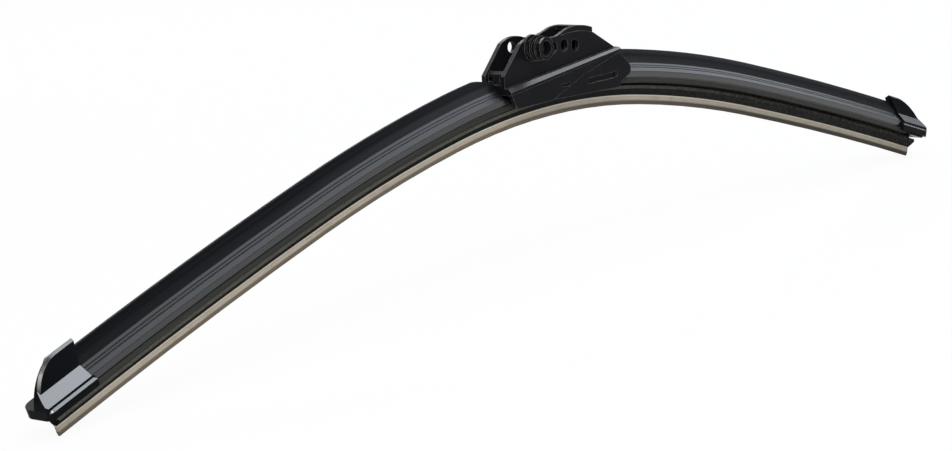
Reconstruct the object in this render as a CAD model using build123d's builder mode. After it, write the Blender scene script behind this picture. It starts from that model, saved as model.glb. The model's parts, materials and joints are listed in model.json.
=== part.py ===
from build123d import *
from math import asin, copysign, cos, degrees, hypot, isclose, sin
import os

os.makedirs("parts", exist_ok=True)

# A flat wiper blade with twin spring rails and a connector for arms with a side pin or a hook.
# Origin: on the axis of the arm's pin, midway between the connector's side plates.
# X runs along the blade, -Y is the windward side of the spoiler, Z points away from the glass.
# Heights in a cross-section are measured from the middle of the rails.

# Blade line, along the rails from the crown in the middle to the tips
blade_length = 600.0
crown_reach = 65.0
shoulder_reach = 150.0
crown_radius = 404.0
shoulder_radius = 779.0
tip_radius = 2776.0

# Pin axis, seen from the crown of the rails
pin_ahead = 18.0
pin_height = 19.4
pin_bore = 4.8

# Clearances
rail_fit = 0.10
cover_fit = 0.15
snap_fit = 0.15
sleeve_fit = 0.05

# Spring rails
rail_width = 4.0
rail_thick = 0.9
rail_past_rubber = 1.0

# Wiping rubber, from the head down to the wiping edge
web_width = 1.9
head_width = 5.2
head_thick = 0.8
flange_width = 5.8
flange_thick = 0.9
neck_width = 1.4
neck_height = 1.45
shoulder_width = 7.8
shoulder_slope = 0.7
shoulder_height = 1.4
body_height = 3.0
lip_width = 1.5
lip_height = 2.8
edge_width = 0.7
edge_height = 1.3

# Air spoiler
spoiler_width = 12.0
spoiler_foot = 2.35
claw_flare = 0.3
claw_gap = 6.3
groove_half = 0.3
groove_depth = 0.5
side_top = 2.6
crease_out = 2.1
crease_height = 6.1
fin_lean = 1.9
fin_height = 12.0
fin_tip = 1.1
fin_hollow = 0.35
back_waist = 2.1
back_waist_height = 6.6
bead_depth = 0.25
bead_half = 0.22
bead_places = (0.28, 0.52)
left_spoiler_start = 36.9
right_spoiler_start = 42.0
toe_start = 30.8
toe_height = 2.2
fin_end_run = 10.0
fin_end_fall = 0.1
fin_end_radius = 24.0
fin_end_turn = 32.0

# End caps
cap_length = 27.2
cap_past_rubber = 6.4
cap_wall = 0.9
cap_grip = 8.0
cap_height = 15.15
cap_ridge = 0.86
cap_ridge_height = 15.6
cap_brow = 4.1
cap_brow_height = 13.8
cap_waist = 3.6
cap_waist_height = 7.6
cap_round = 19.6
cap_round_run = 18.4
cap_notch = 3.8
cap_shelf = 2.4
cap_lee_round = 5.0
cap_rim = 0.8
cap_groove_low = 2.4
cap_groove_high = 2.75
cap_groove_depth = 0.3
scoop_run = 18.0
scoop_start_out = 4.6
scoop_turn_run = 11.7
scoop_turn_out = 1.4
scoop_end_out = -0.6
flange_plate_half = 7.9
flange_plate_foot = 1.5
flange_plate_edge = 1.2
flange_plate_slope = 1.0
flange_plate_round = 3.0

# Connector base
base_width = 17.4
base_front = -30.5
base_foot = -3.8
base_top_back = 39.4
heel_back = 38.4
heel_foot = -5.4
heel_step_back = 39.6
heel_step_height = -3.3
lobe_back = 47.0
lobe_low = -0.4
lobe_high = 2.9
lobe_round = 2.4
lip_thick = 2.0
body_channel = 9.4
panel_start = 16.0
panel_end = 37.0
panel_low = -0.8
panel_high = 1.6
panel_depth = 1.0
panel_round = 0.8

# Connector housing
plate_gap = 8.4
plate_thick = 1.8
ledge_width = 18.6
ledge_back_width = 18.0
ledge_front = -36.5
ledge_back = 40.4
ledge_front_crest = 15.2
ledge_front_top = 5.05
ledge_front_rim = 3.5
ledge_front_foot = 2.2
ledge_back_crest = 15.4
ledge_back_top = 11.7
ledge_back_rim = 11.0
ledge_back_foot = 10.0
skirt_width = 18.0
skirt_thick = 1.5
skirt_front = -36.0
skirt_front_foot = -33.0
skirt_foot = -3.8
skirt_round = 2.4
seam_foot = -9.0
seam_bend = 13.0
seam_bend_height = 3.6
seam_gap = 0.25
nose_height = 10.0
shoulder_front = -24.6
shoulder_front_height = 21.7
arch_crown = -17.0
arch_crown_height = 23.6
arch_back = -9.5
arch_back_height = 22.4
dip_front = -6.0
dip_back = 0.0
dip_height = 21.7
roof_front = 8.0
roof_front_height = 23.9
roof_crown = 12.0
roof_crown_height = 24.3
roof_back = 25.2
roof_back_height = 22.2
roof_step = 2.2
roof_wall = 1.8
roof_inset = 0.4
inset_front = 3.0
inset_front_height = 21.6
inset_crown_height = 22.1
channel_back = 13.0
tail_foot = 39.0
tail_foot_height = 12.1
front_wall_face = -34.4
front_wall = 2.0
front_wall_top = 11.6
front_wall_bevel = 1.1
front_recess_low = 6.4
front_window_low = 7.4
front_window_high = 9.5
front_window_width = 2.4
front_window_pitch = 5.8
row_hole_places = (-2.5, 4.7, 12.2)
row_hole_heights = (17.3, 17.3, 16.3)
row_hole_radii = (2.4, 2.6, 2.5)
snap_front = -2.8
snap_back = 3.4
snap_low = 0.8
snap_high = 1.8
snap_reach = 0.6

# Pin sleeve, out from the near side plate
sleeve_spigot_radius = 3.2
sleeve_flange_radius = 5.6
sleeve_flange_thick = 1.2
sleeve_neck_radius = 4.0
sleeve_length = 8.4
sleeve_ring_places = (3.5, 5.7, sleeve_length)
sleeve_ring_radii = (5.4, 5.1, 4.8)
sleeve_mouth = 6.35
sleeve_mouth_depth = 4.0

half_length = blade_length / 2
crown_x = pin_ahead
crown_z = -pin_height
slot_half = rail_thick / 2 + rail_fit
rail_inner = web_width / 2 + rail_fit
rail_outer = rail_inner + rail_width
plate_outer = plate_gap / 2 + plate_thick
side_view = Plane(origin=(crown_x, 0, crown_z), x_dir=(1, 0, 0), z_dir=(0, -1, 0))
middle = Plane(origin=(crown_x, 0, 0), x_dir=(0, 1, 0), z_dir=(1, 0, 0))


def arcs_from_crown():
    """Tangent arcs of half the blade line: start, end, radius, lean at the start and centre."""
    arcs = []
    start = lean = x = z = 0.0
    tip = half_length + cap_past_rubber
    for end, radius in ((crown_reach, crown_radius), (shoulder_reach, shoulder_radius), (tip, tip_radius)):
        centre_x = x - radius * sin(lean)
        centre_z = z - radius * cos(lean)
        arcs.append((start, end, radius, lean, centre_x, centre_z))
        lean += (end - start) / radius
        x = centre_x + radius * sin(lean)
        z = centre_z + radius * cos(lean)
        start = end
    return arcs


half_arcs = arcs_from_crown()


def station(s):
    """Plane across the blade at s from the crown: x to the lee side, y up, z along the blade."""
    side = copysign(1.0, s)
    for start, end, radius, lean, centre_x, centre_z in half_arcs:
        if abs(s) <= end:
            break
    turn = lean + (abs(s) - start) / radius
    x = crown_x + side * (centre_x + radius * sin(turn))
    z = crown_z + centre_z + radius * cos(turn)
    return Plane(origin=(x, 0, z), x_dir=(0, 1, 0), z_dir=(cos(turn), 0, -side * sin(turn)))


def side_of(plane):
    """Side view at a plane across the blade: x along the blade, y up, z to the windward side."""
    return Plane(plane.origin, x_dir=plane.z_dir, z_dir=plane.z_dir.cross(plane.y_dir))


def along_blade(section, first, last, mode=Mode.ADD):
    """Carry a section along the blade from one station to another, one turn for each arc."""
    for start, end, radius, lean, centre_x, centre_z in half_arcs:
        for side in (-1, 1):
            low, high = sorted((side * start, side * end))
            low = max(low, first)
            high = min(high, last)
            if low < high:
                with BuildSketch(station(low)) as placed:
                    add(section)
                axis = Axis((crown_x + side * centre_x, 0, crown_z + centre_z), (0, 1, 0))
                revolve(placed.sketch, axis=axis, revolution_arc=degrees((high - low) / radius), mode=mode)


# Sections

head_top = slot_half + head_thick
flange_foot = -slot_half - flange_thick
neck_foot = flange_foot - neck_height
shoulder_top = neck_foot - shoulder_slope
shoulder_foot = shoulder_top - shoulder_height
lip_top = shoulder_foot - body_height
lip_foot = lip_top - lip_height
edge_foot = lip_foot - edge_height

with BuildSketch() as rubber_section:
    with BuildLine():
        Polyline(
            (0, head_top),
            (head_width / 2, head_top),
            (head_width / 2, slot_half),
            (web_width / 2, slot_half),
            (web_width / 2, -slot_half),
            (flange_width / 2, -slot_half),
            (flange_width / 2, flange_foot),
            (neck_width / 2, flange_foot),
            (neck_width / 2, neck_foot),
            (shoulder_width / 2, shoulder_top),
            (shoulder_width / 2, shoulder_foot),
            (lip_width / 2, lip_top),
            (lip_width / 2, lip_foot),
            (edge_width / 2, edge_foot),
            (0, edge_foot),
            close=True,
        )
    make_face()
    mirror(about=Plane.YZ)

with BuildSketch() as rail_section:
    with Locations(((rail_inner + rail_outer) / 2, 0)):
        Rectangle(rail_width, rail_thick)

# Room that the rails and the rubber's head take up in whatever clasps them
with BuildSketch() as clasp_room:
    Rectangle(2 * (rail_outer + rail_fit), 2 * slot_half)
    with Locations((0, head_top + rail_fit)):
        Rectangle(head_width + 2 * rail_fit, head_thick + 2 * rail_fit, align=(Align.CENTER, Align.MAX))
    with Locations((0, 0)):
        Rectangle(claw_gap, 2 * spoiler_foot, align=(Align.CENTER, Align.MAX))

side_half = spoiler_width / 2
foot_half = side_half + claw_flare
band_run = side_half - crease_out
band_rise = crease_height - side_top
band_length = (band_run**2 + band_rise**2) ** 0.5


def on_band(share, depth=0.0):
    """Point on the spoiler's windward band, a share of the way down from the crease."""
    y = -crease_out - band_run * share + depth * band_rise / band_length
    return (y, crease_height - band_rise * share - depth * band_run / band_length)


def spoiler_shape(grow=0.0):
    """Outline of the spoiler, all round larger by grow for the pieces that cover it."""
    side = side_half + grow
    crease = on_band(0, -grow)
    rim_height = side_top + grow * (band_length - band_rise) / band_run
    with BuildSketch() as shape:
        with BuildLine():
            face = SagittaArc(crease, (fin_lean - fin_tip / 2 - grow, fin_height + grow), fin_hollow)
            tip = Line(face @ 1, (fin_lean + fin_tip / 2 + grow, fin_height + grow))
            back = ThreePointArc(tip @ 1, (back_waist + grow, back_waist_height), (side, rim_height))
            Polyline(
                back @ 1,
                (side, 0),
                (foot_half + grow, -spoiler_foot - grow),
                (-foot_half - grow, -spoiler_foot - grow),
                (-side, 0),
                (-side, rim_height),
                crease,
            )
        make_face()
    return shape.sketch


with BuildSketch() as spoiler_section:
    add(spoiler_shape())
    add(clasp_room.sketch, mode=Mode.SUBTRACT)
    for place in bead_places:
        with BuildLine():
            Polyline(
                on_band(place - bead_half / band_length),
                on_band(place, bead_depth),
                on_band(place + bead_half / band_length),
                close=True,
            )
        make_face(mode=Mode.SUBTRACT)
    for side in (-side_half, side_half):
        with Locations((side, 0)):
            Rectangle(2 * groove_depth, 2 * groove_half, mode=Mode.SUBTRACT)

# Wiping rubber and spring rails

with BuildPart() as wiper_rubber:
    along_blade(rubber_section.sketch, -half_length, half_length)
wiper_rubber.part.label = "wiper_rubber"
export_step(wiper_rubber.part, "parts/wiper_rubber.step")

rail_reach = half_length + rail_past_rubber

with BuildPart() as spring_rail_rear:
    along_blade(rail_section.sketch, -rail_reach, rail_reach)
spring_rail_rear.part.label = "spring_rail_rear"
export_step(spring_rail_rear.part, "parts/spring_rail_rear.step")

with BuildPart() as spring_rail_front:
    mirror(spring_rail_rear.part, about=Plane.XZ)
spring_rail_front.part.label = "spring_rail_front"
export_step(spring_rail_front.part, "parts/spring_rail_front.step")

# Air spoilers

cap_start = half_length + cap_past_rubber - cap_length
spoiler_reach = cap_start + cap_grip

# Low end of the left spoiler, without the fin, that runs in between the connector's skirts
with BuildSketch() as toe_section:
    add(spoiler_section.sketch)
    with Locations((0, toe_height)):
        Rectangle(2 * spoiler_width, 2 * spoiler_width, align=(Align.CENTER, Align.MAX), mode=Mode.INTERSECT)

with BuildPart() as spoiler_left:
    along_blade(spoiler_section.sketch, -spoiler_reach, -left_spoiler_start)
    along_blade(toe_section.sketch, -left_spoiler_start, -toe_start)
    with BuildSketch(side_of(station(-left_spoiler_start - fin_end_run))):
        with BuildLine():
            fall = JernArc((0, fin_height), (1, -fin_end_fall), fin_end_radius, -fin_end_turn)
            Polyline(fall @ 1, ((fall @ 1).X, 2 * fin_height), (0, 2 * fin_height), fall @ 0)
        make_face()
    extrude(amount=spoiler_width, both=True, mode=Mode.SUBTRACT)
spoiler_left.part.label = "spoiler_left"
export_step(spoiler_left.part, "parts/spoiler_left.step")

with BuildPart() as spoiler_right:
    along_blade(spoiler_section.sketch, right_spoiler_start, spoiler_reach)
spoiler_right.part.label = "spoiler_right"
export_step(spoiler_right.part, "parts/spoiler_right.step")

# End caps, made on the right and mirrored to the left

cap_plane = station(cap_start)
cap_side = side_of(cap_plane)
cap_grow = cover_fit + cap_wall
cap_half = side_half + cap_grow
cap_crease = on_band(0, -cap_grow)
cap_band_foot = side_top + cap_grow * (band_length - band_rise) / band_run
cap_flat = cap_length - cap_round_run
cap_round_turn = degrees(asin(cap_round_run / cap_round))
scoop_start = cap_length - scoop_run


def cap_level(height):
    """Plane level with the rails inside the cap: x out to the tip, y to the lee side."""
    return Plane(cap_plane.origin + cap_plane.y_dir * height, x_dir=cap_plane.z_dir, z_dir=cap_plane.y_dir)


def on_rim(edge):
    """Whether an edge follows the cap's windward rim: the top and round of its fin, or its side's end."""
    spot = edge @ 0.5
    place = cap_side.to_local_coords(spot)
    from_centre = hypot(place.X - cap_flat, place.Y - cap_height + cap_round)
    on_top = isclose(place.Y, cap_height, abs_tol=cover_fit)
    on_round = isclose(from_centre, cap_round, abs_tol=cover_fit) and place.X > cap_flat
    on_end = isclose(place.X, cap_length, abs_tol=cover_fit)
    at_band = cap_band_foot < place.Y < cap_crease[1]
    return (on_top or on_round or on_end) and spot.Y < cap_ridge and not at_band


spoiler_room = spoiler_shape(cover_fit)

with BuildSketch() as rail_room:
    Rectangle(2 * (rail_outer + rail_fit), 2 * slot_half)

with BuildPart() as end_cap_right:
    with BuildSketch(cap_plane):
        with BuildLine():
            windward = Polyline(
                (-cap_half, 0),
                (-cap_half, cap_band_foot),
                cap_crease,
                (cap_ridge, cap_ridge_height),
                (cap_brow, cap_brow_height),
            )
            lee = ThreePointArc(windward @ 1, (cap_waist, cap_waist_height), (cap_half, cap_band_foot))
            Polyline(lee @ 1, (cap_half, 0), windward @ 0)
        make_face()
    extrude(amount=cap_length)
    with BuildSketch(cap_side):
        with BuildLine():
            top = Line((0, cap_height), (cap_flat, cap_height))
            shoulder = JernArc(top @ 1, top % 1, cap_round, -cap_round_turn)
            Polyline(
                shoulder @ 1,
                (cap_length, -flange_plate_foot),
                (cap_shelf, -flange_plate_foot),
                (cap_shelf, cap_groove_low),
                (cap_notch, cap_groove_high),
                (cap_notch, cap_crease[1]),
                (0, cap_height),
            )
        make_face()
    extrude(amount=flange_plate_half, both=True, mode=Mode.INTERSECT)
    with BuildSketch(cap_level(0)) as cap_plan:
        with Locations((0, cap_half)):
            Rectangle(cap_length, flange_plate_half + cap_half, align=(Align.MIN, Align.MAX))
        fillet(cap_plan.vertices().group_by(Axis.X)[-1].sort_by(Axis.Y)[-1], cap_lee_round)
    extrude(amount=cap_ridge_height, mode=Mode.INTERSECT)
    chamfer(end_cap_right.edges().filter_by(Axis.Y, reverse=True).filter_by(on_rim), cap_rim)
    with BuildSketch(cap_level(flange_plate_edge + flange_plate_slope)):
        with BuildLine():
            Polyline(
                (scoop_start, scoop_start_out),
                (cap_length - scoop_turn_run, scoop_turn_out),
                (cap_length, scoop_end_out),
                (cap_length, spoiler_width),
                (scoop_start, spoiler_width),
                close=True,
            )
        make_face()
    extrude(amount=cap_ridge_height, mode=Mode.SUBTRACT)
    with BuildSketch(cap_plane):
        with Locations((-cap_half, (cap_groove_low + cap_groove_high) / 2)):
            Rectangle(2 * cap_groove_depth, cap_groove_high - cap_groove_low)
    extrude(amount=cap_length, mode=Mode.SUBTRACT)
    with BuildSketch(cap_level(-flange_plate_foot)) as flange_plate:
        add(cap_plan.sketch_local)
        fillet(flange_plate.vertices().group_by(Axis.X)[-1].sort_by(Axis.Y)[0], flange_plate_round)
        Rectangle(cap_shelf, 2 * spoiler_width, align=(Align.MIN, Align.CENTER), mode=Mode.SUBTRACT)
    extrude(amount=flange_plate_foot + flange_plate_edge)
    with BuildSketch(cap_level(flange_plate_edge)):
        add(flange_plate.sketch_local)
    extrude(amount=flange_plate_slope, taper=45)
    with BuildSketch(cap_level(-spoiler_foot)):
        with Locations((cap_grip + cover_fit, 0)):
            nose_length = cap_length - flange_plate_round - cap_grip - cover_fit
            Rectangle(nose_length, 2 * foot_half, align=(Align.MIN, Align.CENTER))
    extrude(amount=spoiler_foot - flange_plate_foot)
    along_blade(spoiler_room, cap_start, spoiler_reach + cover_fit, mode=Mode.SUBTRACT)
    along_blade(clasp_room.sketch, cap_start, half_length + cover_fit, mode=Mode.SUBTRACT)
    along_blade(rail_room.sketch, cap_start, rail_reach + rail_fit, mode=Mode.SUBTRACT)
end_cap_right.part.label = "end_cap_right"
export_step(end_cap_right.part, "parts/end_cap_right.step")

with BuildPart() as end_cap_left:
    mirror(end_cap_right.part, about=middle)
end_cap_left.part.label = "end_cap_left"
export_step(end_cap_left.part, "parts/end_cap_left.step")

# Connector base

skirt_outer = skirt_width / 2
core_half = skirt_outer - skirt_thick - snap_fit


def height_at(x, first, last):
    """Height at x on the straight line between two points of the side view."""
    share = (x - first[0]) / (last[0] - first[0])
    return first[1] + share * (last[1] - first[1])


def ledge_foot(x):
    """Height of the ledge's underside."""
    return height_at(x, (ledge_front, ledge_front_foot), (ledge_back, ledge_back_foot))


with BuildSketch() as body_room:
    with Locations((0, -slot_half - lip_thick)):
        Rectangle(body_channel, spoiler_width, align=(Align.CENTER, Align.MAX))

seam_top = height_at(base_top_back, (seam_bend, seam_bend_height), (ledge_back, ledge_back_foot))
base_tail = (
    (heel_back, heel_foot),
    (heel_step_back, heel_step_height),
    (lobe_back, lobe_low),
    (lobe_back, lobe_high),
)
panel_length = panel_end - panel_start
clear_reach = lobe_back + base_width

with BuildPart() as connector_base:
    with BuildSketch(side_view) as core_side:
        with BuildLine():
            Polyline(
                (base_front, base_foot),
                (seam_foot, base_foot),
                *base_tail,
                (base_top_back, ledge_foot(base_top_back) - snap_fit),
                (base_front, ledge_foot(base_front) - snap_fit),
                close=True,
            )
        make_face()
        fillet(core_side.vertices().sort_by(Axis.X)[-2:], lobe_round)
    extrude(amount=core_half, both=True)
    with BuildSketch(side_view) as panel_side:
        with BuildLine():
            Polyline(
                (seam_foot + 2 * seam_gap, base_foot),
                *base_tail,
                (base_top_back, seam_top - seam_gap),
                (seam_bend + seam_gap, seam_bend_height - seam_gap),
                close=True,
            )
        make_face()
        fillet(panel_side.vertices().sort_by(Axis.X)[-2:], lobe_round)
    extrude(amount=base_width / 2 - panel_depth, both=True)
    with BuildSketch(side_view):
        add(panel_side.sketch_local)
        with Locations(((panel_start + panel_end) / 2, (panel_low + panel_high) / 2)):
            RectangleRounded(panel_length, panel_high - panel_low, panel_round, mode=Mode.SUBTRACT)
    extrude(amount=base_width / 2, both=True)
    with BuildSketch(side_view):
        with Locations(((snap_front + snap_back) / 2, (snap_low + snap_high) / 2)):
            Rectangle(snap_back - snap_front - 2 * snap_fit, snap_high - snap_low - 2 * snap_fit)
    extrude(amount=core_half + snap_reach, both=True)
    along_blade(spoiler_room, right_spoiler_start - cover_fit, clear_reach, mode=Mode.SUBTRACT)
    along_blade(clasp_room.sketch, -clear_reach, clear_reach, mode=Mode.SUBTRACT)
    along_blade(body_room.sketch, -clear_reach, clear_reach, mode=Mode.SUBTRACT)
connector_base.part.label = "connector_base"
export_step(connector_base.part, "parts/connector_base.step")

# Connector housing


def across_ledge(x):
    """Plane across the connector at x from the crown: x to the lee side, y up from the rails."""
    return Plane(origin=(crown_x + x, 0, crown_z), x_dir=(0, 1, 0), z_dir=(1, 0, 0))


ledge_ends = (
    (ledge_front, ledge_width, ledge_front_foot, ledge_front_rim, ledge_front_crest, ledge_front_top),
    (ledge_back, ledge_back_width, ledge_back_foot, ledge_back_rim, ledge_back_crest, ledge_back_top),
)
pin_spot = (-pin_ahead, pin_height)
front_wall_inner = front_wall_face + front_wall
far_above = 2 * roof_crown_height

with BuildSketch() as plate_side:
    with BuildLine():
        arch = ThreePointArc(
            (shoulder_front, shoulder_front_height),
            (arch_crown, arch_crown_height),
            (arch_back, arch_back_height),
        )
        roof = ThreePointArc(
            (roof_front, roof_front_height),
            (roof_crown, roof_crown_height),
            (roof_back, roof_back_height),
        )
        Polyline(arch @ 1, (dip_front, dip_height), (dip_back, dip_height), roof @ 0)
        Polyline(
            roof @ 1,
            (roof_back, roof_back_height - roof_step),
            (tail_foot, tail_foot_height),
            (tail_foot, ledge_foot(tail_foot)),
            (ledge_front, ledge_front_foot),
            (ledge_front, nose_height),
            arch @ 0,
        )
    make_face()

# The arm's channel: open above as far as the roof, and closed in front by a low bevelled wall
with BuildSketch() as arm_channel:
    offset(plate_side.sketch, amount=-roof_wall, kind=Kind.INTERSECTION)
    with Locations((channel_back, front_wall_top)):
        Rectangle(far_above, far_above, align=(Align.MAX, Align.MIN))
    with Locations((front_wall_inner, front_recess_low)):
        Rectangle(far_above, far_above, align=(Align.MAX, Align.MIN))
        Rectangle(far_above, far_above, align=(Align.MAX, Align.MAX), mode=Mode.SUBTRACT)
    with BuildLine():
        Polyline(
            (front_wall_face, front_recess_low),
            (front_wall_face, front_wall_top - front_wall_bevel),
            (front_wall_face + front_wall_bevel, front_wall_top),
            (front_wall_inner, front_wall_top),
            (front_wall_inner, front_recess_low),
            close=True,
        )
    make_face(mode=Mode.SUBTRACT)

with BuildPart() as connector_housing:
    for x, width, foot, rim, crest, top_height in ledge_ends:
        with BuildSketch(across_ledge(x)):
            with BuildLine():
                Polyline(
                    (-width / 2, foot),
                    (width / 2, foot),
                    (width / 2, rim),
                    (crest / 2, top_height),
                    (-crest / 2, top_height),
                    (-width / 2, rim),
                    close=True,
                )
            make_face()
    loft(ruled=True)
    with BuildSketch(side_view.offset(skirt_outer)) as skirt_side:
        with BuildLine():
            Polyline(
                (skirt_front, ledge_foot(skirt_front)),
                (ledge_back, ledge_foot(ledge_back)),
                (seam_bend, seam_bend_height),
                (seam_foot, skirt_foot),
                (skirt_front_foot, skirt_foot),
                close=True,
            )
        make_face()
        fillet(skirt_side.vertices().sort_by(Axis.X)[1], skirt_round)
        with Locations(((snap_front + snap_back) / 2, (snap_low + snap_high) / 2)):
            Rectangle(snap_back - snap_front, snap_high - snap_low, mode=Mode.SUBTRACT)
    skirt = extrude(amount=-skirt_thick)
    mirror(skirt, about=Plane.XZ)
    with BuildSketch(side_view):
        add(plate_side.sketch)
    extrude(amount=plate_outer, both=True)
    with BuildSketch(side_view):
        add(arm_channel.sketch)
    extrude(amount=plate_gap / 2, both=True, mode=Mode.SUBTRACT)
    for side in (-plate_outer, plate_outer):
        with BuildSketch(side_view.offset(side)):
            with BuildLine():
                inset = ThreePointArc(
                    (inset_front, inset_front_height),
                    (roof_crown, inset_crown_height),
                    (roof_back, roof_back_height - roof_step),
                )
                Polyline(inset @ 1, (roof_back, far_above), (inset_front, far_above), inset @ 0)
            make_face()
        extrude(amount=roof_inset, both=True, mode=Mode.SUBTRACT)
    with BuildSketch(across_ledge(front_wall_face)):
        with Locations((0, (front_window_low + front_window_high) / 2)):
            with GridLocations(front_window_pitch, 0, 2, 1):
                Rectangle(front_window_width, front_window_high - front_window_low)
    extrude(amount=front_wall, mode=Mode.SUBTRACT)
    with BuildSketch(side_view):
        for x, height, radius in zip(row_hole_places, row_hole_heights, row_hole_radii):
            with Locations((x, height)):
                Circle(radius)
        with Locations(pin_spot):
            Circle(pin_bore / 2)
    extrude(amount=2 * plate_outer, both=True, mode=Mode.SUBTRACT)
    with BuildSketch(side_view):
        with Locations(pin_spot):
            Circle(sleeve_spigot_radius + sleeve_fit)
    extrude(amount=2 * plate_outer, mode=Mode.SUBTRACT)
connector_housing.part.label = "connector_housing"
export_step(connector_housing.part, "parts/connector_housing.step")

# Pin sleeve

sleeve_end = -plate_outer - sleeve_length

with BuildPart() as pin_sleeve:
    with BuildSketch(Plane.XY):
        with Locations((pin_bore / 2, -plate_gap / 2)):
            Rectangle(sleeve_spigot_radius - pin_bore / 2, plate_thick, align=(Align.MIN, Align.MAX))
        with Locations((pin_bore / 2, -plate_outer)):
            Rectangle(sleeve_flange_radius - pin_bore / 2, sleeve_flange_thick, align=(Align.MIN, Align.MAX))
        ring_foot = sleeve_flange_thick
        for place, radius in zip(sleeve_ring_places, sleeve_ring_radii):
            with BuildLine():
                Polyline(
                    (pin_bore / 2, -plate_outer - ring_foot),
                    (sleeve_neck_radius, -plate_outer - ring_foot),
                    (radius, -plate_outer - place),
                    (pin_bore / 2, -plate_outer - place),
                    close=True,
                )
            make_face()
            ring_foot = place
        with Locations((0, sleeve_end)):
            Rectangle(sleeve_mouth / 2, sleeve_mouth_depth, align=(Align.MIN, Align.MIN), mode=Mode.SUBTRACT)
    revolve(axis=Axis.Y)
pin_sleeve.part.label = "pin_sleeve"
export_step(pin_sleeve.part, "parts/pin_sleeve.step")
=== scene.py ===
import bpy
import json
from math import cos, pi, radians, sin
from mathutils import Matrix, Vector


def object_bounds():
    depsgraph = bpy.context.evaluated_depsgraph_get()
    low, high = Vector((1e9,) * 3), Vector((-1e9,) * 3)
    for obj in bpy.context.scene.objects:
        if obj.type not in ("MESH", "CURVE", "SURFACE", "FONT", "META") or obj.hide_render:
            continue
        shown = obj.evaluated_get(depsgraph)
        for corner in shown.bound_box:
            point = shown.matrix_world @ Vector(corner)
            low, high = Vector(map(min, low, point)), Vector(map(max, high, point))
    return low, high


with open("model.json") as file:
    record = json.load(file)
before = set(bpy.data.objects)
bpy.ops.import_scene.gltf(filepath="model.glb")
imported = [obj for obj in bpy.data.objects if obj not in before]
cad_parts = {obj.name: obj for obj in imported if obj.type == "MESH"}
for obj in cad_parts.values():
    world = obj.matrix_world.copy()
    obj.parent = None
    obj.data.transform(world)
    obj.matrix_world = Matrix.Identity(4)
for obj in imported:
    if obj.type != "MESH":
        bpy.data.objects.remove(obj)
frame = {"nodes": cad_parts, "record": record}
cad_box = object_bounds()
MM = 0.001

# Blade line: X and Z of the rails' crown, then tangent arcs towards each tip, each with the length
# from the crown to its end and its radius
CROWN = (18.0 * MM, -19.4 * MM)
ARCS = ((65.0 * MM, 404.0 * MM), (150.0 * MM, 779.0 * MM), (310.0 * MM, 2776.0 * MM))

# Heights over the rails at which a piece changes its looks, each with half the depth of the change
CREASE = (6.1 * MM, 0.1 * MM)
BAND_FOOT = (2.6 * MM, 0.1 * MM)
CLAW_TOP = (-0.3 * MM, 0.2 * MM)
SHOULDER_FOOT = (-5.0 * MM, 0.1 * MM)
LIP_TOP = (-7.9 * MM, 0.15 * MM)
RIM_FOOT = (LIP_TOP[0] - 0.45 * MM, 0.15 * MM)
EDGE_TOP = (-10.2 * MM, 0.4 * MM)

# Spans of a noise value that a texture stretches, the narrower the harder
SOFT = (0.3, 0.7)
FIRM = (0.35, 0.65)
HARD = (0.38, 0.62)

# Smooth shading, and rounded edges: the mask of an edge fades between these cosines of the normal's turn
SMOOTH_ANGLE = radians(28.0)
BEVEL_SAMPLES = 6
EDGE_TURN = (0.80, 0.97)

# Upward part of a face's normal over which it gains its shine, and the stretch over which it loses it again
BRIGHT_SLOPE = (0.45, 0.62)
LEVEL_FADE = 0.04

# Share of the main texture in a relief of two
MAIN_RELIEF = 0.7

# Camera: place, turns about X, Y and Z, and lens
CAMERA_PLACE = (-0.89275, -0.71370, 0.14749)
CAMERA_TURNS = (79.019, 3.784, -50.949)
CAMERA_LENS = 105.02
SENSOR_WIDTH = 36.0

# Floor: half its width, its corners, its paper, and how far that gives way to white
FLOOR_REACH = 8.0
FLOOR_CORNERS = ((-1, -1), (1, -1), (1, 1), (-1, 1))
FLOOR_COLOUR = (0.9, 0.9, 0.9)
FLOOR_GLOW = 0.93

# Light: colours, and the ways in which softboxes are laid
WORLD_COLOUR = (0.20, 0.205, 0.22)
COOL = (0.86, 0.93, 1.0)
WHITE = (1.0, 1.0, 1.0)
ALONG_BAND = (-0.59, -0.56, 0.58)
ALONG_FIN = (0.34, 0.36, -0.25)
ACROSS_VIEW = (0.60, -0.80, 0.0)
ALONG_BLADE = (1.0, 0.0, 0.0)


# Nodes


def node_tree(material):
    """Empty node tree of a material, with its output node."""
    material.use_nodes = True
    tree = material.node_tree
    tree.nodes.clear()
    return tree, tree.nodes.new("ShaderNodeOutputMaterial")


def fill(tree, sockets, values):
    """Link sockets to sockets, or set them to numbers or colours."""
    for socket, value in zip(sockets, values):
        if isinstance(value, bpy.types.NodeSocket):
            tree.links.new(value, socket)
        elif value is not None:
            socket.default_value = (*value, 1.0) if socket.type == "RGBA" else value


def fill_named(tree, node, values):
    """Link or set the inputs of a node by their names."""
    fill(tree, [node.inputs[name] for name in values], values.values())


def compute(tree, operation, first, second=None):
    """Math node on sockets or numbers."""
    node = tree.nodes.new("ShaderNodeMath")
    node.operation = operation
    fill(tree, node.inputs, (first, second))
    return node.outputs[0]


def ramp(tree, value, low, high, from_low=0.0, from_high=1.0):
    """Value carried from one span to another, and held at its ends."""
    node = tree.nodes.new("ShaderNodeMapRange")
    fill(tree, node.inputs, (value, from_low, from_high, low, high))
    return node.outputs[0]


def portion(tree, value, span, most=1.0):
    """How far a value is through a span, from 0 to the most."""
    return ramp(tree, value, 0.0, most, *span)


def step(tree, height, edge, above, below):
    """Value that changes at a height over the rails."""
    middle, half = edge
    return ramp(tree, height, below, above, middle - half, middle + half)


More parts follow.
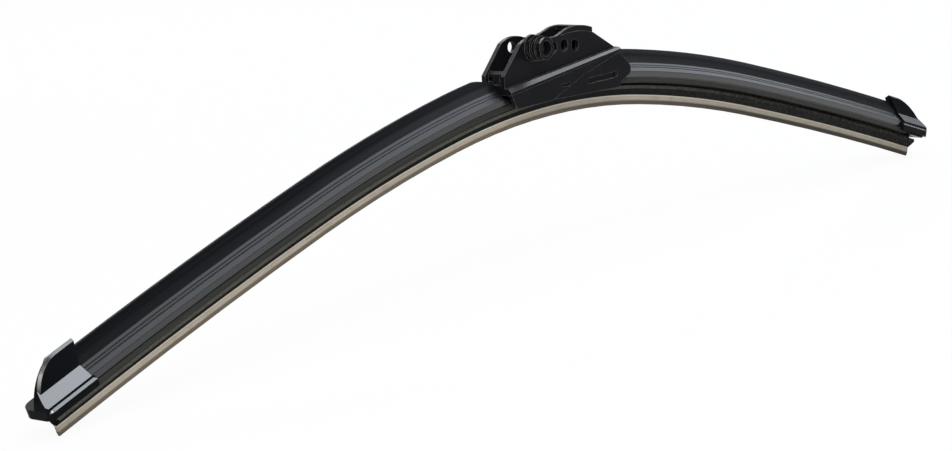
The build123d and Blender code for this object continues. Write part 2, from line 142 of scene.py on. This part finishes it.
def mix_numbers(tree, share, first, second):
    """Number between two others."""
    node = tree.nodes.new("ShaderNodeMix")
    fill(tree, (node.inputs[0], node.inputs[2], node.inputs[3]), (share, first, second))
    return node.outputs[0]


def mix_colours(tree, share, first, second):
    """Colour between two others."""
    node = tree.nodes.new("ShaderNodeMix")
    node.data_type = "RGBA"
    fill(tree, (node.inputs[0], node.inputs[6], node.inputs[7]), (share, first, second))
    return node.outputs[2]


def joined(tree, x, y, z):
    """Vector from three sockets or numbers."""
    node = tree.nodes.new("ShaderNodeCombineXYZ")
    fill(tree, node.inputs, (x, y, z))
    return node.outputs[0]


def noise(tree, place, scale, detail):
    """Noise value at a place."""
    node = tree.nodes.new("ShaderNodeTexNoise")
    fill_named(tree, node, {"Vector": place, "Scale": scale, "Detail": detail})
    return node.outputs[0]


def object_place(tree):
    """Place in the part's own frame, in metres."""
    return tree.nodes.new("ShaderNodeTexCoord").outputs["Object"]


def blade_place(tree):
    """Sockets for the place along X from the crown, across Y and over the rails, in metres."""
    split = tree.nodes.new("ShaderNodeSeparateXYZ")
    tree.links.new(object_place(tree), split.inputs[0])
    x = compute(tree, "SUBTRACT", split.outputs[0], CROWN[0])
    reach = compute(tree, "ABSOLUTE", x)
    rise = compute(tree, "SUBTRACT", split.outputs[2], CROWN[1])
    start = lean = from_x = from_z = 0.0
    height = None
    for end, radius in ARCS:
        centre_x = from_x - radius * sin(lean)
        centre_z = from_z - radius * cos(lean)
        along = compute(tree, "SUBTRACT", reach, centre_x)
        up = compute(tree, "SUBTRACT", rise, centre_z)
        along_square = compute(tree, "MULTIPLY", along, along)
        up_square = compute(tree, "MULTIPLY", up, up)
        distance = compute(tree, "SQRT", compute(tree, "ADD", along_square, up_square))
        over = compute(tree, "SUBTRACT", distance, radius)
        if height is None:
            height = over
        else:
            height = mix_numbers(tree, compute(tree, "GREATER_THAN", reach, from_x), height, over)
        lean += (end - start) / radius
        from_x = centre_x + radius * sin(lean)
        from_z = centre_z + radius * cos(lean)
        start = end
    return x, split.outputs[1], height


def streaks(tree, x, y, height, across, along):
    """Noise drawn out along the blade, with so many features in a metre across it and along it."""
    place = joined(
        tree,
        compute(tree, "MULTIPLY", x, along),
        compute(tree, "MULTIPLY", y, across),
        compute(tree, "MULTIPLY", height, across),
    )
    return noise(tree, place, scale=1.0, detail=2.0)


def upward(tree, level):
    """How far a face looks up, from 0 on a side to 1 on a bright slope, and 0 again past a level."""
    split = tree.nodes.new("ShaderNodeSeparateXYZ")
    tree.links.new(tree.nodes.new("ShaderNodeNewGeometry").outputs["Normal"], split.inputs[0])
    slope = portion(tree, split.outputs[2], BRIGHT_SLOPE)
    fade = ramp(tree, split.outputs[2], 1.0, 0.0, level, level + LEVEL_FADE)
    return compute(tree, "MULTIPLY", slope, fade)


def rounded(tree, radius):
    """Normal with the edges rounded."""
    bevel = tree.nodes.new("ShaderNodeBevel")
    bevel.samples = BEVEL_SAMPLES
    bevel.inputs["Radius"].default_value = radius
    return bevel.outputs[0]


def edge_mask(tree, normal):
    """1 on the edges that a rounded normal turns away from the face, and 0 on flat ground."""
    turn = tree.nodes.new("ShaderNodeVectorMath")
    turn.operation = "DOT_PRODUCT"
    face = tree.nodes.new("ShaderNodeNewGeometry").outputs["True Normal"]
    fill(tree, turn.inputs, (normal, face))
    return ramp(tree, turn.outputs["Value"], 1.0, 0.0, *EDGE_TURN)


def layered(tree, main, lesser):
    """Relief of a main texture and a lesser one."""
    first = compute(tree, "MULTIPLY", main, MAIN_RELIEF)
    return compute(tree, "ADD", first, compute(tree, "MULTIPLY", lesser, 1.0 - MAIN_RELIEF))


def bumped(tree, height, distance, normal=None):
    """Normal with a height put on it."""
    node = tree.nodes.new("ShaderNodeBump")
    fill_named(tree, node, {"Height": height, "Distance": distance, "Normal": normal})
    return node.outputs[0]


def finish(name, build):
    """Material whose function gives the inputs of a principled shader by name."""
    material = bpy.data.materials.new(name)
    tree, output = node_tree(material)
    shader = tree.nodes.new("ShaderNodeBsdfPrincipled")
    fill_named(tree, shader, build(tree))
    tree.links.new(shader.outputs[0], output.inputs[0])
    return material


# Moulded plastic: noise features in a metre, how pale its clouds are, its pale edges of wear and painted
# highlight, and roughness

CLOUD_SCALE = 60.0
SCUFF_SCALE = 420.0
CLOUD_PALENESS = 1.5
LEAST_WEAR_AND_HIGHLIGHT = 0.35
WORN_ROUGHNESS = 0.1
ROUGHNESS_CHANGE = (-0.05, 0.07)


def moulded(colour, worn_and_highlight, roughness, gloss, level, coat_ior, grain_size, grain_depth, edge):
    """Moulded plastic: grain of the mould, dull sides, shinier upper faces and pale edges of wear and
    painted highlight.
    """

    def build(tree):
        place = object_place(tree)
        normal = rounded(tree, edge)
        clouds = noise(tree, place, CLOUD_SCALE, detail=3.0)
        scuffs = portion(tree, noise(tree, place, SCUFF_SCALE, detail=5.0), HARD)
        # Pale edges: wear and painted highlight on the rounded edges
        wear_and_highlight = compute(tree, "MULTIPLY", edge_mask(tree, normal), ramp(tree, scuffs, LEAST_WEAR_AND_HIGHLIGHT, 1.0))
        grain = noise(tree, place, 1.0 / grain_size, detail=2.0)
        pale = [CLOUD_PALENESS * channel for channel in colour]
        tone = mix_colours(tree, portion(tree, clouds, FIRM), colour, pale)
        smoothest, roughest = [roughness + change for change in ROUGHNESS_CHANGE]
        dull = ramp(tree, clouds, smoothest, roughest, *SOFT)
        return {
            "Base Color": mix_colours(tree, wear_and_highlight, tone, worn_and_highlight),
            "Roughness": compute(tree, "ADD", dull, compute(tree, "MULTIPLY", wear_and_highlight, WORN_ROUGHNESS)),
            "Specular IOR Level": gloss,
            "Coat Weight": upward(tree, level),
            "Coat Roughness": roughness,
            "Coat IOR": coat_ior,
            "Normal": bumped(tree, grain, grain_depth, normal),
        }

    return build


# Spoiler: textures by their features in a metre, streaks across it and along it, then colours and shine

BROAD_STREAKS = (700.0, 6.0)
FINE_STREAKS = (3200.0, 14.0)
SPOILER_GRAIN = 5200.0
SPOILER_RELIEF = 0.012 * MM
SPOILER_EDGE = 0.45 * MM
SPOILER_BLACK = ((0.0040, 0.0042, 0.0052), (0.0070, 0.0073, 0.0088))
CLAW_OLIVE = ((0.020, 0.020, 0.018), (0.036, 0.035, 0.031))
SPOILER_ROUGHNESS = (0.3, 0.42)
CLAW_ROUGHNESS = 0.55
SIDE_COAT = 1.0
BAND_COAT = 0.68
CLAW_COAT = 0.12
FIN_DULL = 9.4 * MM


def extruded(tree):
    """Extruded spoiler: die streaks, a fin that dulls upwards, a shiny band and side, and dull claws."""
    x, y, height = blade_place(tree)
    broad = streaks(tree, x, y, height, *BROAD_STREAKS)
    fine = streaks(tree, x, y, height, *FINE_STREAKS)
    grain = noise(tree, object_place(tree), SPOILER_GRAIN, detail=2.0)
    claw = step(tree, height, CLAW_TOP, above=0.0, below=1.0)
    black = mix_colours(tree, portion(tree, broad, FIRM), *SPOILER_BLACK)
    olive = mix_colours(tree, portion(tree, fine, SOFT), *CLAW_OLIVE)
    dull = ramp(tree, broad, *SPOILER_ROUGHNESS, *SOFT)
    band_and_side = step(tree, height, BAND_FOOT, above=BAND_COAT, below=SIDE_COAT)
    fin = ramp(tree, height, BAND_COAT, 0.0, CREASE[0], FIN_DULL)
    shine = mix_numbers(tree, step(tree, height, CREASE, above=1.0, below=0.0), band_and_side, fin)
    normal = rounded(tree, SPOILER_EDGE)
    return {
        "Base Color": mix_colours(tree, claw, black, olive),
        "Roughness": mix_numbers(tree, claw, dull, CLAW_ROUGHNESS),
        "Specular IOR Level": 0.05,
        "Coat Weight": mix_numbers(tree, claw, shine, CLAW_COAT),
        "Coat Roughness": 0.29,
        "Coat IOR": 1.62,
        "Normal": bumped(tree, layered(tree, fine, grain), SPOILER_RELIEF, normal),
        "Coat Normal": normal,
    }


# Rubber: textures by their features in a metre, the cross ribs of its body, the stretch along X over
# which painted light on its left half turns into painted shade and a painted sheen on its right half,
# then colours and roughness

RUBBER_STREAKS = (2400.0, 20.0)
RUBBER_GRAIN = 1500.0
RUBBER_RELIEF = 0.04 * MM
MOTTLE_SCALE = 900.0
MOTTLE_SPAN = (0.36, 0.66)
BLOTCH_SCALE = 130.0
BLOTCH_SPAN = (0.5, 0.75)
BLOTCH_MOST = 0.5
RIB_PITCH = 0.75 * MM
RIB_CREST = (-0.2, 1.0)
RIB_MOST = 0.8
# Along X, painted light on the left half turns into painted shade on the right half
PAINTED_SHADING_SPAN = (-40.0 * MM, 160.0 * MM)
PAINTED_SHADE_LIP_MOST = 0.3
BODY_BLACK = ((0.002, 0.002, 0.002), (0.006, 0.006, 0.0055))
LEFT_CREST = (0.008, 0.008, 0.007)
# Rib crests on the right half: painted sheen
CREST_PAINTED_SHEEN = ((0.020, 0.0195, 0.0175), (0.090, 0.088, 0.079))
LEFT_SHOULDER = ((0.080, 0.079, 0.065), (0.145, 0.142, 0.116))
# Shoulder on the right half: painted shade
SHOULDER_PAINTED_SHADE = ((0.012, 0.012, 0.0105), (0.056, 0.055, 0.049))
LIP_COAT = ((0.44, 0.38, 0.295), (0.545, 0.485, 0.395))
LIP_BLOTCH = (0.34, 0.29, 0.22)
LIP_RIM = (0.72, 0.66, 0.55)
# Lip on the right half: painted shade
LIP_PAINTED_SHADE = (0.20, 0.18, 0.145)
# Wiping edge, left half then right half: painted shade of its downward taper, deeper on the right
EDGE_PAINTED_SHADE = ((0.16, 0.134, 0.10), (0.062, 0.055, 0.045))
BODY_ROUGHNESS = 0.7
LIP_ROUGHNESS = 0.5


def rubber(tree):
    """Ribbed rubber: grey shoulder, pale lip, wiping edge in painted shade; painted light left, painted
    shade right.
    """
    x, y, height = blade_place(tree)
    place = object_place(tree)
    # Painted light and shade along X: 0 on the lit left half, 1 on the shaded right half
    painted_shading = portion(tree, x, PAINTED_SHADING_SPAN)
    grain = noise(tree, place, RUBBER_GRAIN, detail=4.0)
    blotches = noise(tree, place, BLOTCH_SCALE, detail=4.0)
    fine = streaks(tree, x, y, height, *RUBBER_STREAKS)
    speckle = portion(tree, grain, FIRM)
    mottle = portion(tree, noise(tree, place, MOTTLE_SCALE, detail=2.0), MOTTLE_SPAN)

    slant = compute(tree, "ADD", x, height)
    ribs = compute(tree, "SINE", compute(tree, "MULTIPLY", slant, 2 * pi / RIB_PITCH))
    # Rib crests turn paler on the right half: painted sheen
    crests = mix_colours(tree, painted_shading, LEFT_CREST, mix_colours(tree, mottle, *CREST_PAINTED_SHEEN))
    body = mix_colours(tree, speckle, *BODY_BLACK)
    body = mix_colours(tree, portion(tree, ribs, RIB_CREST, RIB_MOST), body, crests)

    left_shoulder_grey = mix_colours(tree, speckle, *LEFT_SHOULDER)
    # Shoulder turns darker on the right half: painted shade
    shoulder_grey = mix_colours(tree, painted_shading, left_shoulder_grey, mix_colours(tree, mottle, *SHOULDER_PAINTED_SHADE))
    shoulder = step(tree, height, SHOULDER_FOOT, above=1.0, below=0.0)
    body = mix_colours(tree, shoulder, body, shoulder_grey)

    coat = mix_colours(tree, portion(tree, fine, SOFT), *LIP_COAT)
    coat = mix_colours(tree, portion(tree, blotches, BLOTCH_SPAN, BLOTCH_MOST), coat, LIP_BLOTCH)
    coat = mix_colours(tree, step(tree, height, RIM_FOOT, above=1.0, below=0.0), coat, LIP_RIM)
    # Lip turns darker on the right half: painted shade
    coat = mix_colours(tree, portion(tree, x, PAINTED_SHADING_SPAN, PAINTED_SHADE_LIP_MOST), coat, LIP_PAINTED_SHADE)
    # Wiping edge darker and browner: painted shade, deeper on the right half
    edge_shade = mix_colours(tree, painted_shading, *EDGE_PAINTED_SHADE)
    coat = mix_colours(tree, step(tree, height, EDGE_TOP, above=0.0, below=1.0), coat, edge_shade)

    lip = step(tree, height, LIP_TOP, above=0.0, below=1.0)
    return {
        "Base Color": mix_colours(tree, lip, body, coat),
        "Roughness": mix_numbers(tree, lip, BODY_ROUGHNESS, LIP_ROUGHNESS),
        "Specular IOR Level": 0.02,
        "Normal": bumped(tree, layered(tree, grain, fine), RUBBER_RELIEF),
    }


# Spring steel: streaks by their features in a metre across it and along it, then colour and roughness

STEEL_STREAKS = (4000.0, 6.0)
STEEL_RELIEF = 0.008 * MM
STEEL_GREY = ((0.34, 0.34, 0.35), (0.52, 0.52, 0.53))
STEEL_ROUGHNESS = (0.24, 0.42)


def spring_steel(tree):
    """Rolled spring steel, brushed along the blade."""
    x, y, height = blade_place(tree)
    lines = streaks(tree, x, y, height, *STEEL_STREAKS)
    return {
        "Base Color": mix_colours(tree, lines, *STEEL_GREY),
        "Metallic": 1.0,
        "Roughness": ramp(tree, lines, *STEEL_ROUGHNESS, *SOFT),
        "Normal": bumped(tree, lines, STEEL_RELIEF),
    }


# Finishes, by the record's material slots

builders = {
    "rubber": rubber,
    "spring_steel": spring_steel,
    "spoiler_plastic": extruded,
    "cap_plastic": moulded(
        colour=(0.0045, 0.0047, 0.0056),
        # Edge colour: wear and painted highlight
        worn_and_highlight=(0.05, 0.05, 0.052),
        roughness=0.18,
        gloss=0.02,
        level=0.90,
        coat_ior=2.45,
        grain_size=0.35 * MM,
        grain_depth=0.008 * MM,
        edge=0.12 * MM,
    ),
    "connector_plastic": moulded(
        colour=(0.0060, 0.0060, 0.0076),
        # Edge colour: wear and painted highlight
        worn_and_highlight=(0.20, 0.19, 0.17),
        roughness=0.36,
        gloss=0.04,
        level=1.0,
        coat_ior=1.8,
        grain_size=0.45 * MM,
        grain_depth=0.02 * MM,
        edge=0.4 * MM,
    ),
}
finishes = {slot: finish(slot, build) for slot, build in builders.items()}
for part in frame["record"]["subparts"]:
    mesh = frame["nodes"][part["node"]].data
    mesh.materials.clear()
    mesh.materials.append(finishes[part["material_slot"]])
    mesh.shade_smooth()
    mesh.set_sharp_from_angle(angle=SMOOTH_ANGLE)

# Camera

camera_data = bpy.data.cameras.new("camera")
camera_data.lens = CAMERA_LENS
camera_data.sensor_width = SENSOR_WIDTH
camera_data.sensor_fit = "HORIZONTAL"
camera = bpy.data.objects.new("camera", camera_data)
camera.location = CAMERA_PLACE
camera.rotation_euler = [radians(turn) for turn in CAMERA_TURNS]
bpy.context.scene.collection.objects.link(camera)
bpy.context.scene.camera = camera

# Floor: white to the camera and in reflections, with the blade's own faint shadow

floor_height = cad_box[0][2]
corners = [(x * FLOOR_REACH, y * FLOOR_REACH, floor_height) for x, y in FLOOR_CORNERS]
floor_mesh = bpy.data.meshes.new("floor")
floor_mesh.from_pydata(corners, [], [(0, 1, 2, 3)])
floor = bpy.data.objects.new("floor", floor_mesh)
bpy.context.scene.collection.objects.link(floor)
floor_finish = bpy.data.materials.new("floor")
tree, output = node_tree(floor_finish)
paper = tree.nodes.new("ShaderNodeBsdfDiffuse")
fill_named(tree, paper, {"Color": FLOOR_COLOUR})
glow = tree.nodes.new("ShaderNodeEmission")
path = tree.nodes.new("ShaderNodeLightPath")
seen = compute(tree, "MAXIMUM", path.outputs["Is Camera Ray"], path.outputs["Is Glossy Ray"])
seen = compute(tree, "MAXIMUM", seen, path.outputs["Is Transmission Ray"])
both = tree.nodes.new("ShaderNodeMixShader")
fill(tree, both.inputs, (compute(tree, "MULTIPLY", seen, FLOOR_GLOW), paper.outputs[0], glow.outputs[0]))
tree.links.new(both.outputs[0], output.inputs[0])
floor_mesh.materials.append(floor_finish)

# Light: softboxes that the windward bands and the fin mirror, two over the camera for the sides and rims,
# and one behind

world = bpy.data.worlds.new("studio")
bpy.context.scene.world = world
world.use_nodes = True
fill_named(world.node_tree, world.node_tree.nodes["Background"], {"Color": WORLD_COLOUR})


def softbox(name, place, long_way, length, width, power, colour):
    """Rectangular area lamp that faces the part, with its length laid along a direction."""
    light = bpy.data.lights.new(name, "AREA")
    light.shape = "RECTANGLE"
    light.size = length
    light.size_y = width
    light.energy = power
    light.color = colour
    lamp = bpy.data.objects.new(name, light)
    back = Vector(place).normalized()
    along = Vector(long_way)
    along = (along - along.project(back)).normalized()
    turn = Matrix((along, back.cross(along), back)).transposed().to_4x4()
    lamp.matrix_world = Matrix.Translation(place) @ turn
    bpy.context.scene.collection.objects.link(lamp)


softbox("key", (0.755, -0.20, 1.40), ALONG_BAND, length=1.85, width=0.90, power=11.5, colour=COOL)
softbox("right", (1.48, 0.21, 0.63), ALONG_BAND, length=0.65, width=0.82, power=2.3, colour=COOL)
softbox("fin", (1.05, -0.72, 0.80), ALONG_FIN, length=0.60, width=0.50, power=2.0, colour=COOL)
softbox("front", (-0.92, -0.72, 0.72), ACROSS_VIEW, length=1.1, width=1.2, power=11.5, colour=WHITE)
softbox("above", (-0.50, -0.86, 1.25), ACROSS_VIEW, length=0.8, width=0.7, power=5.0, colour=WHITE)
softbox("behind", (0.45, 1.30, 0.75), ALONG_BLADE, length=1.3, width=0.5, power=7.0, colour=WHITE)

bpy.context.scene.view_settings.view_transform = "Standard"
